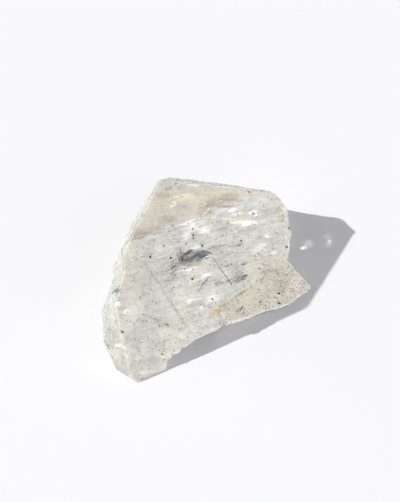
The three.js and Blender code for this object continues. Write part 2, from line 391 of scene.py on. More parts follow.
# %% Relief on broken faces, edges and terminals
ON_FACE, OFF_FACE = math.cos(math.radians(8)), math.cos(math.radians(13))
CHIPPED_WAY = Vector((0.75, -0.66, 0))
CHIPPED_FROM, CHIPPED_TO = -0.2, 0.2
BEHIND_WAY = Vector((0.1, 0.99, 0))
BEHIND_FROM, BEHIND_TO = 1 / 3, 2 / 3
HACKLE_IN_FRONT, HACKLE_BEHIND = 0.1 * MM, 0.03 * MM
HACKLE_SIZE, FINE_HACKLE_SIZE = 1.6 * MM, 0.7 * MM
LUMP_SIZE, LUMP_SHARE = 4 * MM, 1.4
GROWTH_RIDGE, GROWTH_SPACING, GROWTH_STRETCH = 0.035 * MM, 1.1 * MM, 7
CRUMB_IN_FRONT, CRUMB_BEHIND = 0.12 * MM, 0.1 * MM
CRUMB_SIZE, CRUMB_SHARE = 1.3 * MM, 0.15
ON_TABLE = 0.05 * MM
to_streaks = STREAK_TURN.to_matrix().transposed()


def share_between(value, low, high):
    """0 up to low, 1 from high on, and even between them."""
    return max(0.0, min(1.0, (value - low) / (high - low)))


def cloudy(point, size, seed):
    """Perlin noise from -1 to 1, with spots of about size in metres."""
    return noise.noise(point / size + Vector((seed, seed, seed)))


moves = {}
for vertex in shape.verts:
    normal = vertex.normal
    shares = {
        name: share_between(normal.dot(face), OFF_FACE, ON_FACE) for name, face in FACES.items()
    }
    flat = sum(shares.values())
    for name, share in shares.items():
        masks[name][vertex.index] = share / max(1.0, flat)
    broken = 1 - min(1.0, flat)
    chipped = share_between(normal.dot(CHIPPED_WAY), CHIPPED_FROM, CHIPPED_TO)
    behind = share_between(normal.dot(BEHIND_WAY), BEHIND_FROM, BEHIND_TO)
    masks["broken"][vertex.index] = broken * (1 - chipped)
    masks["chipped"][vertex.index] = broken * chipped
    masks["behind"][vertex.index] = broken * behind
    point = vertex.co
    # The daylight mask darkens the milk's tone further down: painted shade.
    in_light = whole.ray_cast(point + normal * SKIN_CELL, towards_light)[0] is None
    sunny = max(0.0, normal.dot(towards_light)) * (1 - shares["ledge"])
    masks["sunny"][vertex.index] = sunny * in_light
    hackle = cloudy(point, HACKLE_SIZE, seed=3) + 0.5 * cloudy(point, FINE_HACKLE_SIZE, seed=5)
    lumps = LUMP_SHARE * cloudy(point, LUMP_SIZE, seed=11)
    along = to_streaks @ point
    stretched = Vector((along.x / GROWTH_STRETCH, along.y, along.z))
    growth = cloudy(stretched, GROWTH_SPACING, seed=21)
    crumbs = max(0.0, cloudy(point, CRUMB_SIZE, seed=31) + CRUMB_SHARE)
    hackle_height = HACKLE_BEHIND + (HACKLE_IN_FRONT - HACKLE_BEHIND) * chipped
    lift = hackle_height * broken * (hackle + lumps)
    lift += GROWTH_RIDGE * (1 - broken) * growth
    crumb = CRUMB_BEHIND + (CRUMB_IN_FRONT - CRUMB_BEHIND) * chipped
    lift -= crumb * masks["edge"][vertex.index] * crumbs
    moves[vertex.index] = normal * lift
for vertex in shape.verts:
    if vertex.co.z > ON_TABLE:
        vertex.co += moves[vertex.index]
shape.to_mesh(skin)
shape.free()
skin.shade_smooth()
for name, values in masks.items():
    mask = skin.attributes.new(name, "FLOAT", "POINT")
    mask.data.foreach_set("value", [values[i] for i in range(len(skin.vertices))])
stone = bpy.data.objects.new("quartz_stone", skin)
bpy.context.collection.objects.link(stone)
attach(stone, "root")
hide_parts("quartz_crystal")

# %% [markdown]
# ## Finding a place on the stone
# Each mark stands where it does on the real stone. It is named by its pixel in the 400 by 502
# picture, and the camera's ray through that pixel finds its place on the skin, so the mark sits
# on the stone from every side.

# %% From a pixel to a place
PIXELS_ACROSS, PIXELS_DOWN = 400, 502
FILM = 36 * MM
stone_tree = BVHTree.FromPolygons(
    [vertex.co[:] for vertex in skin.vertices], [face.vertices[:] for face in skin.polygons]
)


def ray_through(across, down):
    per_pixel = FILM / PIXELS_DOWN / (CAMERA_LENS * MM)
    x = (across - PIXELS_ACROSS / 2) * per_pixel
    y = (PIXELS_DOWN / 2 - down) * per_pixel
    return (camera.rotation_euler.to_matrix() @ Vector((x, y, -1))).normalized()


def on_stone(across, down):
    """The place on the skin and the way it looks there, in metres."""
    return stone_tree.ray_cast(camera.location, ray_through(across, down))[:2]


def at(across, down):
    return on_stone(across, down)[0] / MM


# %% [markdown]
# ## Soft marks in the finish
# A patch is a soft ellipsoid round its middle, stretched along the streaks: a pixel, its reach
# along them and its reach to the sides. A stroke is a long thin one: a pixel at each end and its
# reach to the sides. Where their edges would look drawn, they are broken up by noise that runs
# with the streaks, as the bubble trails in the quartz do.

# %% Where the marks are, as pixels, with sizes in millimetres
DARK_PATCHES = [
    ((183, 259), 2.8, 2.4), ((176, 265), 3.2, 1.4), ((199, 255.5), 3.2, 1.5),
]
GREY_PATCHES = [
    ((222, 229), 4.6, 2.0), ((247, 229.5), 4.0, 1.3), ((236, 246), 3.4, 1.3), ((228, 265.5), 2.6, 1.1),
    ((238, 271), 3.2, 1.7), ((269, 268), 2.0, 1.4), ((203, 285), 2.2, 1.6), ((148, 256), 3.4, 1.5),
    ((134, 244), 2.6, 1.2), ((221, 253), 3.6, 1.1), ((168, 292), 3.4, 1.0), ((160, 320), 5.0, 1.0),
    ((150, 241), 3.0, 1.2), ((146, 293), 2.6, 1.0), ((172, 277), 3.6, 1.8), ((214, 247), 4.0, 1.2),
    ((152, 360), 4.0, 1.6), ((147, 279), 5.5, 3.4),
]
GREY_STROKES = [((144, 314.5), (166, 322), 1.1), ((158, 320), (184, 331), 1.7)]
# White patches: white veils in the quartz, painted glints, and painted light on a shaded notch below
# the front terminal.
WHITE_AND_GLINT_PATCHES = [
    ((187, 236.5), 3.0, 2.2), ((232, 210), 2.0, 1.2), ((254, 212.5), 2.8, 1.5), ((247, 223), 5.2, 1.2),
    ((267, 236.5), 2.2, 1.2), ((274, 253), 1.8, 1.2), ((202, 307.5), 1.8, 0.9), ((196, 247), 5.0, 0.7),
    ((205, 276), 3.6, 2.0), ((212, 300), 5.0, 2.0), ((260, 248), 4.5, 2.0), ((193, 226), 6.5, 2.2),
    ((192, 268.5), 3.4, 0.5), ((190, 301), 2.8, 0.8), ((220, 318), 3.2, 2.6), ((118, 345), 1.4, 0.9),
    ((117, 304), 1.8, 1.1), ((222.5, 323), 1.8, 1.6), ((126, 312), 1.6, 0.8), ((204, 231), 4.0, 1.6),
]
PINK_PATCHES = [
    ((222, 270), 3.6, 2.4), ((208, 268), 4.5, 2.4), ((229, 259), 4.0, 1.6), ((196, 274), 3.0, 1.4),
    ((298, 287), 4.0, 4.5), ((263, 266), 5.0, 2.8),
]
SANDY_PATCHES = [
    ((264, 267), 5.5, 3.2), ((274, 258), 4.0, 2.4), ((250, 279), 4.0, 1.6), ((283, 215), 3.0, 4.0),
    ((133, 272), 6.0, 4.0), ((233, 204.5), 5.0, 1.4),
]
# Painted sheen: glassy places at the toe and foot that are whitened.
GLASSY_SHEEN_PATCHES = [
    ((146, 371), 4.0, 1.4), ((160, 333), 5.0, 1.2), ((131, 313), 3.4, 1.2), ((134, 271), 3.0, 0.7),
    ((140, 358), 3.0, 0.8), ((184, 335), 3.0, 1.2),
]
YELLOW_CLOUDS = [
    ((188, 196), 2.6, 1.9), ((169, 204), 2.6, 1.9), ((178, 198), 4.0, 2.2), ((222, 193), 7, 0.8),
]
YELLOW_STROKES = [((196, 191.8), (236, 194.2), 0.5), ((166, 203), (186, 196), 0.5)]
BROWN_CLOUDS = [
    ((222, 200), 8.0, 2.4), ((138, 235), 6.5, 3.0), ((205, 212), 3.6, 1.6), ((168, 220), 4.0, 2.0),
    ((163, 196), 3.0, 1.6), ((152, 231), 5.5, 2.6),
]
BROWN_STROKES = [
    ((200, 216), (213, 211.5), 0.7), ((200, 208), (216, 202), 0.8), ((208, 206), (226, 207), 0.35),
    ((214, 200.5), (232, 198), 0.7), ((226, 199), (244, 202), 0.5), ((150, 235.5), (164, 231.5), 0.4),
    ((118, 264), (120, 284), 0.5), ((163, 189.5), (169, 188.5), 0.7), ((131, 240), (148, 236), 0.6),
    ((216, 208), (240, 205.5), 0.5), ((231, 300.5), (249, 288.5), 0.22),
]
OCHRE_STROKES = [((205, 217.4), (237, 219.6), 0.7), ((226, 219), (262, 222.6), 0.4)]
# Pale veins in the rear, and painted highlights: a bright line along the ridge and glints in the
# shell.
PALE_AND_GLINT_LINES = [
    ((175, 226.4), (201, 217.8), 0.3), ((174, 198), (187, 194), 0.3),
    ((172, 200.5), (177.5, 204), 0.25), ((169.5, 208.5), (177, 204), 0.25),
    ((172, 273), (194, 268), 0.16), ((187, 302), (205, 297), 0.2),
    ((181, 252), (197, 247.5), 0.16), ((200, 259), (210, 255), 0.1),
    ((226, 212), (238, 208.5), 0.4), ((247, 214), (258, 209.5), 0.5), ((252, 217), (262, 213), 0.4),
    ((224, 223), (246, 221.5), 0.45), ((240, 226.5), (258, 222), 0.4), ((230, 216), (244, 212), 0.3),
]
TAN_LINES = [
    ((136, 254), (156, 278), 0.3), ((146, 265), (166, 294), 0.3),
    ((156, 278), (190, 333), 0.5), ((170, 300), (191, 334), 0.5),
]
WINDOWS = [((192, 258), 5.0, 3.0)]
SHELL_PIXEL, SHELL_REACH = (240, 212), (9.5, 4.6, 5)
# Painted highlight: white lines along the back rim.
RIM_HIGHLIGHT_STROKES = [((164, 183.5), (262, 194), 3.5)]
RIM_ENDS = ((164, 183), (262, 194))
OLIVE_PATCH_PIXEL, OLIVE_PATCH_REACH = (280, 287), (2.3, 2.8, 2)
OLIVE_PATCH_WAY = Vector((1, 0.1, 0))
MARK_DEPTH = 2.0
STROKE_OVERLAP = 1.15


# %% [markdown]
# ## Clear and milky quartz
# Milky quartz is clear quartz full of tiny bubbles. The finish is a mix of the two: clear crystal
# with plain transmission, and a milky body that lets light creep through it. Each face has its
# own share of milk, which is highest on the ledge and the chipped front. It runs in streaks, and
# there is less of it in a window in the front terminal and where the broken sides are thin.

# %% Fields of the quartz finish
quartz = new_finish("quartz")
rear = quartz.painted("rear")
front = quartz.painted("front")
left = quartz.painted("left")
ledge = quartz.painted("ledge")
broken = quartz.painted("broken")
chipped = quartz.painted("chipped")
behind = quartz.painted("behind")
sunny = quartz.painted("sunny")
thin = quartz.painted("thin")
edge = quartz.painted("edge")

bands = quartz.noise((8, 1.3, 1.3), STREAK_TURN, detail=5, roughness=0.65, bend=0.6).rising(0.3, 0.7)
streaks = quartz.noise((3.2, 0.3, 0.3), STREAK_TURN, detail=3, seed=7).rising(0.3, 0.7)
fibre = quartz.noise((2.4, 0.2, 0.2), STREAK_TURN, detail=4, roughness=0.6, bend=0.3, seed=3)
fibre = fibre.rising(0.35, 0.62)
clouds = quartz.noise((6, 6, 6), detail=4, seed=13).rising(0.36, 0.64)
mottle = quartz.noise((1.0, 1.0, 1.0), detail=3, seed=17).rising(0.35, 0.65)
specks = quartz.noise((0.3, 0.3, 0.3), detail=2, seed=19).rising(0.35, 0.68)
rim_from, rim_to = [on_stone(*pixel)[0] for pixel in RIM_ENDS]
RIM_TURN = turned(rim_to - rim_from, Vector((0, 0, 1)))
rim_lines = quartz.noise((9, 0.4, 0.4), RIM_TURN, detail=2, bend=0.5, seed=29).rising(0.3, 0.7)

quartz.wobble((2.4, 2.4, 2.4), 1.0)


def patches(finish, places):
    spots = []
    for (across, down), along, wide in places:
        reach = (along, wide, max(wide, MARK_DEPTH))
        spots.append(finish.near(at(across, down), reach, STREAK_TURN))
    return finish.largest(spots)


def strokes(finish, places):
    lines = []
    for one, other, wide in places:
        start, normal = on_stone(*one)
        end = on_stone(*other)[0]
        half = (end - start).length / 2 / MM
        turn = turned(end - start, normal)
        reach = (half * STROKE_OVERLAP, wide, MARK_DEPTH)
        lines.append(finish.near((start + end) / 2 / MM, reach, turn))
    return finish.largest(lines)


rim = strokes(quartz, RIM_HIGHLIGHT_STROKES).rising(0.0, 0.5) * behind
smoke = (patches(quartz, DARK_PATCHES) + (fibre - 0.5) * 0.5).rising(0.2, 0.75)
haze = (patches(quartz, GREY_PATCHES) + (streaks - 0.5) * 0.4 + (clouds - 0.5) * 0.3).rising(0.1, 0.8)
smears = strokes(quartz, GREY_STROKES).rising(0.0, 0.8) * (0.5 + 0.5 * mottle)
sandy = (patches(quartz, SANDY_PATCHES) + (clouds - 0.5) * 0.3).rising(0.0, 0.7)
pinkish = (patches(quartz, PINK_PATCHES) + (clouds - 0.5) * 0.3).rising(0.0, 0.8)
whites_and_glints = patches(quartz, WHITE_AND_GLINT_PATCHES) + (streaks - 0.5) * 0.3 + (fibre - 0.5) * 0.2
whites_and_glints = whites_and_glints.rising(0.15, 1.15)
yellows = (patches(quartz, YELLOW_CLOUDS) + (clouds - 0.5) * 0.5).rising(0.0, 1.0)
golden = strokes(quartz, YELLOW_STROKES).rising(0.05, 0.8) * (0.4 + 0.6 * fibre)
glassy_sheen = (patches(quartz, GLASSY_SHEEN_PATCHES) + (streaks - 0.5) * 0.2).rising(0.0, 0.8)
brownish = patches(quartz, BROWN_CLOUDS).rising(0.0, 0.8) * rear
browns = strokes(quartz, BROWN_STROKES).rising(0.05, 0.7) * (0.3 + 0.7 * fibre)
ochre = strokes(quartz, OCHRE_STROKES).rising(0.05, 0.7)
pale_and_glint_lines = strokes(quartz, PALE_AND_GLINT_LINES).rising(0.05, 0.6)
tan_lines = strokes(quartz, TAN_LINES).rising(0.05, 0.7)
window = patches(quartz, WINDOWS).rising(0.0, 0.6)
shell = quartz.near(at(*SHELL_PIXEL), SHELL_REACH, STREAK_TURN).rising(0, 0.4)
shell = shell * (1 - rear).clamped()
calm = 1 - 0.8 * shell
olive_patch_turn = turned(OLIVE_PATCH_WAY, LEDGE)
olive_patch = quartz.near(at(*OLIVE_PATCH_PIXEL), OLIVE_PATCH_REACH, olive_patch_turn).rising(0, 0.12)

# %% Share of milk
milk = 0.72 * rear + 0.56 * front + 0.66 * left + 0.9 * ledge + 0.6 * broken + 0.85 * chipped
milk = milk + (bands - 0.5) * (0.16 * front * calm + 0.1 * left + 0.1 * rear)
milk = milk + (streaks - 0.5) * (0.1 * front * calm + 0.05 * left) + (rim_lines - 0.2) * 0.4 * rim
milk = milk + (clouds - 0.5) * 0.16 + ((mottle - 0.5) * 0.08 + (specks - 0.5) * 0.06) * calm
milk = milk - 0.1 * smoke - 0.45 * window - 0.15 * thin * broken + 0.3 * whites_and_glints + 0.25 * ochre
milk = (milk + 0.3 * pale_and_glint_lines + 0.3 * rim).clamped()

# %% [markdown]
# ## The tone of the milk
# The tone starts as a mix of two, and each line lays one more over it by a mask. This shader is
# near the largest that the renderer can hold: two more noises turned the whole stone black. A look
# that would need them is better made as a piece of its own, as the threads further down are.

# %% Tones of the milk
warm = (0.715, 0.675, 0.585, 1)
pale = (0.753, 0.752, 0.718, 1)
light = (0.88, 0.875, 0.85, 1)
# Painted shade for the faces that the daylight strikes.
shade_painted_on_sunlit = (0.45, 0.462, 0.432, 1)
misty = (0.75, 0.755, 0.775, 1)
rosy = (0.81, 0.76, 0.71, 1)
white = (0.995, 0.995, 0.985, 1)
greyish = (0.46, 0.475, 0.5, 1)
hazy = (0.52, 0.53, 0.54, 1)
# Painted shade for sharp edges in daylight.
painted_edge_shade = (0.3, 0.31, 0.31, 1)
straw = (0.93, 0.82, 0.55, 1)
umber = (0.36, 0.29, 0.23, 1)
tan = (0.55, 0.5, 0.42, 1)
ochre_tone = (0.84, 0.62, 0.36, 1)
olive = (0.56, 0.55, 0.46, 1)
beige = (rear * (0.75 + 0.5 * (clouds - 0.5)) + left * 0.1 + ledge * 0.62 + chipped * 0.05).clamped()
tone = quartz.colour_mix(beige, pale, warm)
tone = quartz.colour_mix(left * 0.16, tone, tan)
# The front's streaks are lighter, and the broken back faces are lightened as a painted highlight.
tone = quartz.colour_mix((bands * 0.35 + streaks * 0.25) * front + behind * 0.7, tone, light)
# Painted shade: the broken sides that face the daylight, and each face as squarely as the daylight
# strikes it, are darkened.
tone = quartz.colour_mix(((broken - behind).clamped() * 0.5 + sunny * 1.2).clamped(), tone, shade_painted_on_sunlit)
tone = quartz.colour_mix(brownish * 0.5, tone, umber)
tone = quartz.colour_mix((1 - fibre) * 0.1 * (front * calm + 0.4 * left), tone, greyish)
speckled = (1 - specks) * (0.12 * ledge + 0.1 * chipped + 0.08 * rear + 0.08 * left)
tone = quartz.colour_mix(speckled, tone, tan)
tone = quartz.colour_mix(shell * 0.8, tone, misty)
tone = quartz.colour_mix(pinkish * 0.75, tone, rosy)
tone = quartz.colour_mix(sandy * 0.6, tone, warm)
# Painted sheen: the glassy toe and foot are whitened.
tone = quartz.colour_mix(glassy_sheen * 0.4, tone, white)
tone = quartz.colour_mix(haze * (0.5 - 0.3 * sandy), tone, hazy)
tone = quartz.colour_mix((smoke * 0.72).at_least(smears * 0.6), tone, greyish)
tone = quartz.colour_mix(yellows * 0.6, tone, straw)
tone = quartz.colour_mix(golden * 0.5, tone, straw)
tone = quartz.colour_mix(browns * 0.85, tone, umber)
# White veils, with painted glints and painted light on the shaded notch.
tone = quartz.colour_mix(whites_and_glints * 0.75, tone, white)
# Painted highlight: white lines along the back rim.
tone = quartz.colour_mix((0.5 + 0.4 * rim_lines) * rim, tone, white)
# Painted shade: sharp edges that the daylight strikes are darkened in mottled spots.
tone = quartz.colour_mix((edge * sunny * 1.6).clamped() * (0.35 + 0.65 * mottle), tone, painted_edge_shade)
# Pale veins, with a painted highlight along the ridge and painted glints in the shell.
tone = quartz.colour_mix(pale_and_glint_lines * 0.6, tone, white)
tone = quartz.colour_mix(tan_lines * 0.75, tone, tan)
# An olive grey patch with a sharp edge on the ledge.
tone = quartz.colour_mix(olive_patch * 0.6, tone, olive)
tone = quartz.colour_mix(ochre * 0.3, tone, ochre_tone)

# %% The two bodies and their mix
CLEAR_TINT = (0.98, 0.985, 0.975, 1)
DEPTH_TINT, DEPTH_DENSITY = (0.86, 0.9, 0.84, 1), 12.0
REFRACTION = 1.544
CREEP = 1.2 * MM
CREEP_BY_COLOUR = (1.0, 0.97, 0.92)
BUMP_HEIGHT, BUMP_STRENGTH = 0.08 * MM, 0.5

bump = (streaks - 0.5) * 0.5 * front + (mottle - 0.5) * 0.4 + (specks - 0.5) * 0.3
bumps = quartz.node("ShaderNodeBump", {}, Strength=BUMP_STRENGTH, Distance=BUMP_HEIGHT, Height=bump)
clear_body = quartz.node(
    "ShaderNodeBsdfPrincipled", {}, Base_Color=CLEAR_TINT,
    Roughness=0.06 + 0.1 * mottle + 0.16 * broken,
    IOR=REFRACTION, Transmission_Weight=1.0, Normal=bumps,
)
milky_body = quartz.node(
    "ShaderNodeBsdfPrincipled", {}, Base_Color=tone,
    Roughness=0.2 + 0.2 * mottle + 0.2 * broken,
    IOR=REFRACTION, Subsurface_Weight=1.0, Subsurface_Radius=CREEP_BY_COLOUR,
    Subsurface_Scale=CREEP, Normal=bumps,
)
quartz.ends_in("Surface", quartz.node("ShaderNodeMixShader", {}, milk, clear_body, milky_body))
quartz.ends_in("Volume", quartz.node(
    "ShaderNodeVolumeAbsorption", {}, Color=DEPTH_TINT, Density=DEPTH_DENSITY
))
skin.materials.clear()
skin.materials.append(quartz.owner)
print("the quartz finish has", len(quartz.tree.nodes), "nodes")

# %% [markdown]
# ## Veils inside
# Healed cracks and bubble trails hang in the clear quartz as thin ragged flakes. Each is a sphere
# that is pressed flat, bent and given a torn rim, and it hangs at its own depth, so the inside
# shifts against the skin when the stone is turned. A flake that would break through the skin is
# left out.

# %% A flake
UNDER_SKIN = 0.03 * MM
FLAKE_ARCH = 0.1
TORN_BY, TORN_SPACING = 0.6, 2.2
NOISE_SEEDS = (0, 50)
carrier = bpy.data.meshes.new("carrier")


def is_inside(point):
    place, outwards = stone_tree.find_nearest(point)[:2]
    return (point - place).dot(outwards) < -UNDER_SKIN


def move_into(target, small):
    """Adds a small finished shape to the target, which is much quicker than making it there."""
    small.to_mesh(carrier)
    small.free()
    target.from_mesh(carrier)


def add_flake(target, place, along, up, size, draw, hidden=True):
    """size is the length, the width and the thickness in metres. Says whether it was added."""
    flake = bmesh.new()
    bmesh.ops.create_icosphere(flake, subdivisions=2, radius=0.5)
    seed = draw.uniform(*NOISE_SEEDS)
    arch = draw.uniform(-FLAKE_ARCH, FLAKE_ARCH)
    for vertex in flake.verts:
        around = vertex.co.normalized()
        rim = Vector((TORN_SPACING * around.x, TORN_SPACING * around.y, seed))
        torn = 1 + TORN_BY * noise.noise(rim)
        vertex.co.x *= torn
        vertex.co.y *= torn
        vertex.co = Vector((
            vertex.co.x * size[0],
            vertex.co.y * size[1] + arch * size[0] * vertex.co.x * vertex.co.x,
            vertex.co.z * size[2],
        ))
    turn = turned(along, up).to_matrix().to_4x4()
    flake.transform(Matrix.Translation(place) @ turn)
    if hidden and not all(is_inside(vertex.co) for vertex in flake.verts):
        flake.free()
        return False
    move_into(target, flake)
    return True


def swung(way, normal, draw, spread):
    """The way, swung by up to spread degrees in the plane, and by a third of that out of it."""
    in_plane = Matrix.Rotation(math.radians(draw.uniform(-spread, spread)), 3, normal)
    across = normal.cross(way).normalized()
    out_of_plane = Matrix.Rotation(math.radians(draw.uniform(-spread, spread) / 3), 3, across)
    return out_of_plane @ in_plane @ way


def two_toned(name, one, other, roughness, spots, turn=(0, 0, 0), detail=3, seed=0, crisp=None):
    """An opaque finish that runs from one colour to the other in spots of that size."""
    finish = new_finish(name)
    share = finish.noise(spots, turn, detail=detail, seed=seed)
    if crisp:
        share = share.rising(*crisp)
    finish.plain_body(finish.colour_mix(share, one, other), roughness)
    return finish


def finished_piece(name, target, finish):
    bmesh.ops.recalc_face_normals(target, faces=target.faces)
    mesh = bpy.data.meshes.new(name)
    target.to_mesh(mesh)
    target.free()
    mesh.shade_smooth()
    mesh.materials.append(finish.owner)
    piece = bpy.data.objects.new(name, mesh)
    bpy.context.collection.objects.link(piece)
    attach(piece, "root")
    print(name, "has", len(mesh.polygons), "faces")
    return piece


# %% Pale trails under the terminal faces
VEIL_SEED = 41
VEIL_PIXELS = ((104, 292), (186, 368))
VEIL_DRAWS = 4200
VEIL_STYLES = {
    "front": {"chance": 0.25, "deep": (0.08, 2.2), "long": (1.0, 4), "wide": (0.08, 0.35), "swing": 6},
    "rear": {"chance": 0.3, "deep": (0.2, 3), "long": (1, 5), "wide": (0.2, 0.8), "swing": 20},
    "left": {"chance": 0.3, "deep": (0.2, 3), "long": (0.8, 4), "wide": (0.1, 0.5), "swing": 20},
    "broken": {"chance": 0.04, "deep": (0.8, 2), "long": (0.6, 3), "wide": (0.2, 0.9), "swing": 60},
}
VEIL_THICKNESS = 0.05
VEIL_WHITE, VEIL_GREY = (0.995, 0.99, 0.98, 1), (0.9, 0.905, 0.91, 1)


def face_at(normal):
    name, face = max(FACES.items(), key=lambda item: normal.dot(item[1]))
    return name if normal.dot(face) > OFF_FACE else "broken"


draw = random.Random(VEIL_SEED)
veils = bmesh.new()
veil_count = 0
for _ in range(VEIL_DRAWS):
    place, normal = on_stone(draw.uniform(*VEIL_PIXELS[0]), draw.uniform(*VEIL_PIXELS[1]))
    style = VEIL_STYLES.get(face_at(normal)) if place else None
    if style is None or draw.random() > style["chance"]:
        continue
    size = Vector((draw.uniform(*style["long"]), draw.uniform(*style["wide"]), VEIL_THICKNESS)) * MM
    way = swung(streak_way, FRONT, draw, style["swing"])
    deep = draw.uniform(*style["deep"]) * MM
    veil_count += add_flake(veils, place - normal * deep, way, normal, size, draw)
print("veils inside:", veil_count)

veil_finish = two_toned(
    "veil", VEIL_WHITE, VEIL_GREY, roughness=0.5, spots=(3, 0.7, 0.7), turn=STREAK_TURN, seed=9,
    crisp=(0.4, 0.6),
)
inner_veils = finished_piece("inner_veils", veils, veil_finish)

# %% [markdown]
# ## Wisps in the skin
# The blue-grey wisps near the middle are the darkest marks after the grains. Deep in milky quartz
# they would be lost, so they are flakes that are as narrow as the hairs of a brush and lie in the
# skin of the front and left terminals. Each stroke is named by its two ends, its spread to the
# sides in millimetres and its number of hairs.

# %% Dark wisps in the skin
WISP_SEED = 7
WISP_STROKES = [
    ((188.4, 261), (195, 256), 0.5, 18), ((194, 256.5), (201, 253), 0.5, 16),
    ((196, 257), (208, 253.5), 0.7, 26), ((200, 253), (209, 252), 0.4, 12),
    ((193, 251.5), (205, 250.5), 0.15, 6), ((204, 250.6), (212, 254), 0.15, 5),
    ((199, 258.6), (211, 254), 0.3, 12),
    ((200, 261), (209.5, 257), 0.2, 5), ((178, 258), (186, 255), 1.1, 20),
    ((181, 262), (187, 250), 0.5, 8), ((172, 265), (188, 261), 1.2, 11),
    ((170, 274), (184, 272), 0.7, 4), ((207, 248.8), (225, 245), 0.06, 8),
    ((224, 245), (240, 240.5), 0.06, 7), ((236, 296), (248, 289), 0.1, 8),
    ((168, 272), (178, 262), 1.2, 9), ((168, 283), (178, 272), 1.0, 8),
    ((186, 254), (191, 250), 0.5, 6), ((211.6, 256), (230, 251.4), 0.5, 7),
    ((232, 281.8), (247.5, 276), 0.3, 18), ((231, 285.2), (245, 279), 0.08, 10),
    ((213.5, 286.8), (231, 279.5), 0.05, 10), ((231, 279.5), (247, 274.6), 0.12, 10),
    ((235, 278.4), (242, 273), 0.5, 9),
    ((212, 284.7), (227, 279), 0.06, 6), ((199, 291.6), (202.7, 284.5), 0.1, 5),
    ((202, 285), (207.5, 279), 0.15, 7), ((263, 264), (271, 268), 0.4, 5),
    ((270, 273), (275, 269), 0.15, 3), ((224, 267), (233, 263), 0.4, 3),
    ((233, 272), (246, 266), 0.9, 5), ((216, 232), (234, 225), 1.1, 3),
    ((234, 232), (260, 226), 0.5, 3), ((228, 247), (243, 244), 0.6, 4),
    ((140, 256), (156, 254), 0.6, 3), ((126, 243), (142, 240), 0.4, 2),
    ((180, 247), (181.5, 255), 0.08, 2), ((201, 244), (202, 248), 0.08, 2),
    ((146, 316.5), (162, 322), 0.15, 3), ((160, 321.5), (182, 330), 0.25, 4),
]
WISP_LONGEST = 2.4
WISP_DARK, WISP_GREY = (0.015, 0.02, 0.03, 1), (0.12, 0.14, 0.17, 1)
HAIR_SHORTEST = 0.7
HAIR_WIDTH = (0.06, 0.17)
HAIR_DEPTH = (-0.01, 0.03)
HAIR_THICKNESS = 0.05
HAIR_SWING = 4


def brushed(strokes_of_hairs, seed, longest):
    """A bmesh of hairs that lie in the skin along the strokes."""
    draw = random.Random(seed)
    hairs = bmesh.new()
    for one, other, spread, count in strokes_of_hairs:
        start, normal = on_stone(*one)
        run = on_stone(*other)[0] - start
        sideways = normal.cross(run).normalized()
        for _ in range(count):
            place = start + run * draw.random() + sideways * draw.gauss(0, spread / 2) * MM
            place, normal = stone_tree.find_nearest(place)[:2]
            long, wide = draw.uniform(HAIR_SHORTEST, longest), draw.uniform(*HAIR_WIDTH)
            size = Vector((long, wide, HAIR_THICKNESS)) * MM
            size.x = min(size.x, run.length)
            way = swung(run.normalized(), normal, draw, HAIR_SWING)
            deep = draw.uniform(*HAIR_DEPTH) * MM
            add_flake(hairs, place - normal * deep, way, normal, size, draw, hidden=False)
    print("hairs brushed on:", sum(stroke[-1] for stroke in strokes_of_hairs))
    return hairs


wisps = brushed(WISP_STROKES, WISP_SEED, WISP_LONGEST)
wisp_finish = two_toned(
    "wisp", WISP_DARK, WISP_GREY, roughness=0.4, spots=(2, 0.6, 0.6), turn=STREAK_TURN
)
dark_wisps = finished_piece("phantom_wisps", wisps, wisp_finish)

# %% [markdown]
# The rear terminal is marbled with fine threads, which curl round its yellow cloud. They are
# brushed on in the same way, and a cloudy pattern makes some of them pale and some brown.

# %% Threads in the rear terminal
THREAD_SEED = 19
THREAD_LONGEST = 3.2
THREAD_PALE, THREAD_BROWN = (0.86, 0.81, 0.68, 1), (0.42, 0.35, 0.28, 1)
THREAD_STROKES = [
    ((165, 203), (173, 198.5), 0.5, 7), ((172, 199), (187, 194), 0.7, 12),
    ((172, 200), (177.5, 203.5), 0.3, 5), ((177.5, 203.5), (173, 208), 0.3, 4),
    ((160, 206), (163, 215), 0.7, 6), ((186, 194), (208, 191.5), 0.5, 8),
    ((196, 192), (234, 194.5), 0.5, 12), ((180, 208), (203, 205), 0.5, 7),
    ((198, 208.5), (207, 203), 0.4, 6), ((206, 203), (222, 200.5), 0.8, 9),
    ((201, 216.5), (213, 212), 0.6, 9), ((204, 213), (215, 205), 0.7, 8),
    ((220, 205), (234, 207.5), 0.8, 8), ((214, 198), (238, 198), 1.2, 12),
    ((150, 209), (163, 190), 0.9, 8), ((146, 222), (166, 216), 1.5, 8),
    ((133, 238), (150, 232), 0.8, 8), ((168, 190), (184, 186), 0.8, 9),
]
threads = brushed(THREAD_STROKES, THREAD_SEED, THREAD_LONGEST)
thread_finish = two_toned(
    "thread", THREAD_PALE, THREAD_BROWN, roughness=0.45, spots=(2.2, 1.2, 1.2), turn=STREAK_TURN,
    detail=2, seed=23, crisp=(0.4, 0.6),
)
rear_threads = finished_piece("rear_threads", threads, thread_finish)

# %% [markdown]
# ## The needle
# One hair-thin mineral needle crosses the streaks of the front terminal. It is a six-sided prism
# that lies in the skin, and one end is a third thinner.

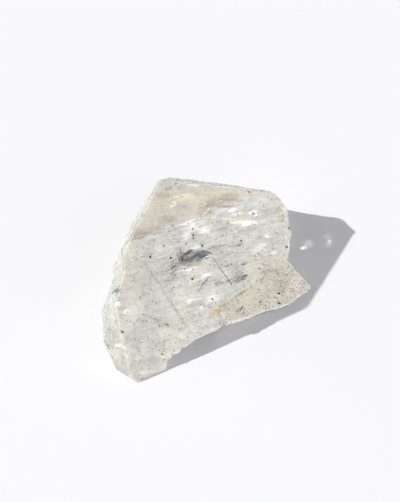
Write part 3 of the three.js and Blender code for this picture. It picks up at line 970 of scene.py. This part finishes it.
# %% Needle
NEEDLE_PIXELS = ((213, 258), (231.9, 284.8))
NEEDLE_WIDTH = 0.15 * MM
NEEDLE_LIFT = 0.04 * MM
NEEDLE_BLACK, NEEDLE_GREY = (0.02, 0.022, 0.025, 1), (0.07, 0.075, 0.08, 1)
start, normal = on_stone(*NEEDLE_PIXELS[0])
end = on_stone(*NEEDLE_PIXELS[1])[0]
needle = bmesh.new()
bmesh.ops.create_cone(
    needle, cap_ends=True, segments=6, radius1=NEEDLE_WIDTH / 3, radius2=NEEDLE_WIDTH / 2,
    depth=(end - start).length,
)
needle_turn = (end - start).to_track_quat("Z", "Y").to_matrix().to_4x4()
needle_place = Matrix.Translation((start + end) / 2 + normal * NEEDLE_LIFT)
bmesh.ops.transform(needle, matrix=needle_place @ needle_turn, verts=needle.verts)
needle_finish = two_toned(
    "needle", NEEDLE_BLACK, NEEDLE_GREY, roughness=0.3, spots=(0.8, 0.8, 0.8), detail=2
)
needle_piece = finished_piece("needle", needle, needle_finish)

# %% [markdown]
# ## Grains and crusts
# Black grains sit about half sunk in the skin, closest on the ledge and hardly any on the beige
# rear terminal. The larger ones stand where they do on the real stone, and the fine dust is
# scattered by a seeded draw. The ochre iron stain and the green spot are crusts of such grains,
# set close.

# %% A grain and a row of grains
GRAIN_SUNK = 0.1
GRAIN_LUMPS = (0.75, 1.2)
GRAIN_STRETCH = 1.3


def add_grain(target, place, normal, size, draw, flat=1.0):
    grain = bmesh.new()
    bmesh.ops.create_icosphere(grain, subdivisions=1, radius=size / 2)
    for vertex in grain.verts:
        vertex.co *= draw.uniform(*GRAIN_LUMPS)
        vertex.co.x *= GRAIN_STRETCH
    spin = Euler([draw.uniform(0, math.tau) for _ in range(3)]).to_matrix()
    lay = normal.to_track_quat("Z", "Y").to_matrix() @ Matrix.Diagonal((1, 1, flat))
    sunk = place - normal * size * flat * GRAIN_SUNK
    grain.transform(Matrix.Translation(sunk) @ (lay @ spin).to_4x4())
    move_into(target, grain)


def add_crust(target, pixels, spread, count, sizes, draw, flat):
    """Grains along the line of pixels, scattered to its sides by spread millimetres."""
    for _ in range(count):
        stretch = draw.randrange(len(pixels) - 1)
        share = draw.random()
        across, down = (a + (b - a) * share for a, b in zip(pixels[stretch], pixels[stretch + 1]))
        place = on_stone(across, down)[0]
        aside = Vector([draw.gauss(0, spread / 2) for _ in range(3)]) * MM
        place, normal = stone_tree.find_nearest(place + aside)[:2]
        add_grain(target, place, normal, draw.uniform(*sizes) * MM, draw, flat)


def crust_of(crusts, seed, flat):
    """A bmesh of crusts, each of which has its pixels, spread, number and sizes of grains."""
    draw = random.Random(seed)
    crust = bmesh.new()
    for pixels, spread, count, sizes in crusts:
        add_crust(crust, pixels, spread, count, sizes, draw, flat)
    return crust


# %% Black grains
GRAIN_SEED = 12
LARGE_GRAIN_PIXELS = [
    (172.7, 225.5), (163.7, 246), (184.4, 269), (192.5, 278.8), (173.5, 287), (212.3, 299),
    (143.4, 314.7), (122.7, 332), (249.3, 192), (241.2, 241), (186, 243.5), (193, 235),
    (162.3, 354), (288.9, 228.6), (278.6, 293.6), (259.6, 302), (241.5, 308), (170.9, 257.8),
    (150.3, 257), (238, 214.4), (279.4, 303.5), (180.9, 256.8), (182.4, 259), (231.6, 264.2),
    (192.4, 229.2), (193.3, 238.3), (202.4, 245.6), (259.3, 268.4), (286.8, 247), (253.4, 213.4),
]
LARGE_GRAINS = (0.42, 0.68)
FINE_GRAINS = (0.13, 0.32)
FINE_GRAIN_COUNT = 1150
GRAIN_SHARES = {
    "rear": 0.06, "front": 0.6, "left": 0.9, "ledge": 1.8, "broken": 0.25, "chipped": 1.0
}
NO_GRAINS_BELOW = 0.2 * MM
GRAIN_BLACK, GRAIN_BROWN = (0.008, 0.008, 0.01, 1), (0.06, 0.055, 0.05, 1)
draw = random.Random(GRAIN_SEED)
grains = bmesh.new()
for pixel in LARGE_GRAIN_PIXELS:
    place, normal = on_stone(*pixel)
    add_grain(grains, place, normal, draw.uniform(*LARGE_GRAINS) * MM, draw)
weights = []
for face in skin.polygons:
    one = face.vertices[0]
    thick = sum(masks[name][one] * share for name, share in GRAIN_SHARES.items())
    weights.append(thick * face.area if face.center.z > NO_GRAINS_BELOW else 0.0)
for face in draw.choices(skin.polygons, weights, k=FINE_GRAIN_COUNT):
    size = draw.uniform(*FINE_GRAINS) * MM
    add_grain(grains, face.center.copy(), face.normal.copy(), size, draw)
black = two_toned(
    "black_mineral", GRAIN_BLACK, GRAIN_BROWN, roughness=0.45, spots=(0.4, 0.4, 0.4), detail=2
)
black_grains = finished_piece("black_grains", grains, black)

# %% Ochre crust
OCHRE_SEED = 5
OCHRE_FLAT = 0.35
OCHRE_YELLOW, OCHRE_BROWN = (0.9, 0.66, 0.2, 1), (0.72, 0.46, 0.1, 1)
OCHRE_CRUSTS = [
    ([(211.5, 317), (213.5, 313), (217, 310.5)], 0.35, 90, (0.12, 0.3)),
    ([(217, 310.5), (221, 308), (227, 303.5)], 0.4, 80, (0.1, 0.24)),
    ([(226, 304), (238, 296), (248, 289)], 0.14, 60, (0.08, 0.16)),
    ([(219.5, 311.5), (222, 316), (223.5, 320)], 0.12, 34, (0.08, 0.16)),
]
stain = crust_of(OCHRE_CRUSTS, OCHRE_SEED, OCHRE_FLAT)
stain_finish = two_toned(
    "iron_stain", OCHRE_YELLOW, OCHRE_BROWN, roughness=0.7, spots=(0.5, 0.5, 0.5), crisp=(0.35, 0.65)
)
iron_stain = finished_piece("iron_stain", stain, stain_finish)

# %% Green spot
GREEN_SEED = 3
GREEN_FLAT = 0.5
GREEN_DARK, GREEN_PALE = (0.04, 0.1, 0.05, 1), (0.16, 0.25, 0.17, 1)
GREEN_CRUSTS = [([(112.5, 292.5), (115, 291), (118, 290)], 0.7, 110, (0.18, 0.4))]
green = crust_of(GREEN_CRUSTS, GREEN_SEED, GREEN_FLAT)
green_finish = two_toned(
    "green_mineral", GREEN_DARK, GREEN_PALE, roughness=0.55, spots=(0.6, 0.6, 0.6), detail=2,
    crisp=(0.35, 0.65),
)
green_mineral = finished_piece("green_mineral", green, green_finish)

# %% [markdown]
# ## Light that the stone hands on
# In the real stone the sun shines in through the left side, and its light comes out through the
# front and through every veil. The renderer doesn't trace sunlight through clear stone to what is
# inside, so two linked lights stand in for it. They reach only the pieces of the stone and throw
# no shadows, so the floor and its shadow stay as they are.

# %% Lights that reach only the stone
HANDED_ON_WIDTH = math.radians(100)
HANDED_ON_COLOUR = (1.0, 0.985, 0.955)
HANDED_ON = {
    "out_of_the_front": {"heading": 205, "elevation": 42, "strength": 1.95},
    "into_the_notch": {"heading": -28, "elevation": 36, "strength": 0.7},
}


def collected(name, pieces):
    collection = bpy.data.collections.new(name)
    for piece in pieces:
        collection.objects.link(piece)
    return collection


pieces = [
    stone, inner_veils, dark_wisps, rear_threads, needle_piece, black_grains, iron_stain,
    green_mineral,
]
lit_stone = collected("takes_handed_on_light", pieces)
blocks_light = collected("blocks_handed_on_light", [])


def shine_only_on(lamp, receivers):
    lamp.light_linking.receiver_collection = receivers
    lamp.light_linking.blocker_collection = blocks_light


for name, kind in HANDED_ON.items():
    towards_lamp = from_heading(math.radians(kind["heading"]), math.radians(kind["elevation"]))
    lamp = new_sun(name, towards_lamp, HANDED_ON_WIDTH, kind["strength"], HANDED_ON_COLOUR)
    shine_only_on(lamp, lit_stone)
print("suns that reach only the stone:", len(HANDED_ON))

# %% [markdown]
# ## Light that the stone throws on the floor
# Clear quartz gathers sunlight in its own shadow. The renderer doesn't gather it either, so small
# spots that shine on the floor alone stand in for it. Each is named by the pixel of its middle.

# %% Gathered light in the shadow
GATHERED = [
    {"pixel": (302.2, 248.2), "across": 0.9, "strength": 0.17},
    {"pixel": (305, 247.2), "across": 1.2, "strength": 0.12},
    {"pixel": (308.5, 243.5), "across": 3.2, "strength": 0.03},
    {"pixel": (329.6, 241), "across": 1.4, "strength": 0.08},
    {"pixel": (328.6, 244.5), "across": 2.2, "strength": 0.03},
    {"pixel": (327.4, 236.5), "across": 2.4, "strength": 0.02},
    {"pixel": (304, 274), "across": 1.2, "strength": 0.02},
]
GATHERED_HEIGHT = 60 * MM
GATHERED_LAMP = 0.5 * MM
GATHERED_COLOUR = (1.0, 0.95, 0.88)


def on_floor(across, down):
    """The place where the camera's ray through a pixel meets the floor."""
    way = ray_through(across, down)
    return camera.location - way * (camera.location.z / way.z)


lit_floor = collected("takes_gathered_light", [floor])
for number, spot in enumerate(GATHERED):
    lamp = new_lamp(f"gathered_{number}", "SPOT", spot["strength"], GATHERED_COLOUR)
    lamp.location = on_floor(*spot["pixel"]) + Vector((0, 0, GATHERED_HEIGHT))
    lamp.data.shadow_soft_size = GATHERED_LAMP
    lamp.data.spot_size = 2 * math.atan(spot["across"] * MM / 2 / GATHERED_HEIGHT)
    lamp.data.spot_blend = 1.0
    shine_only_on(lamp, lit_floor)
print("spots of gathered light:", len(GATHERED))
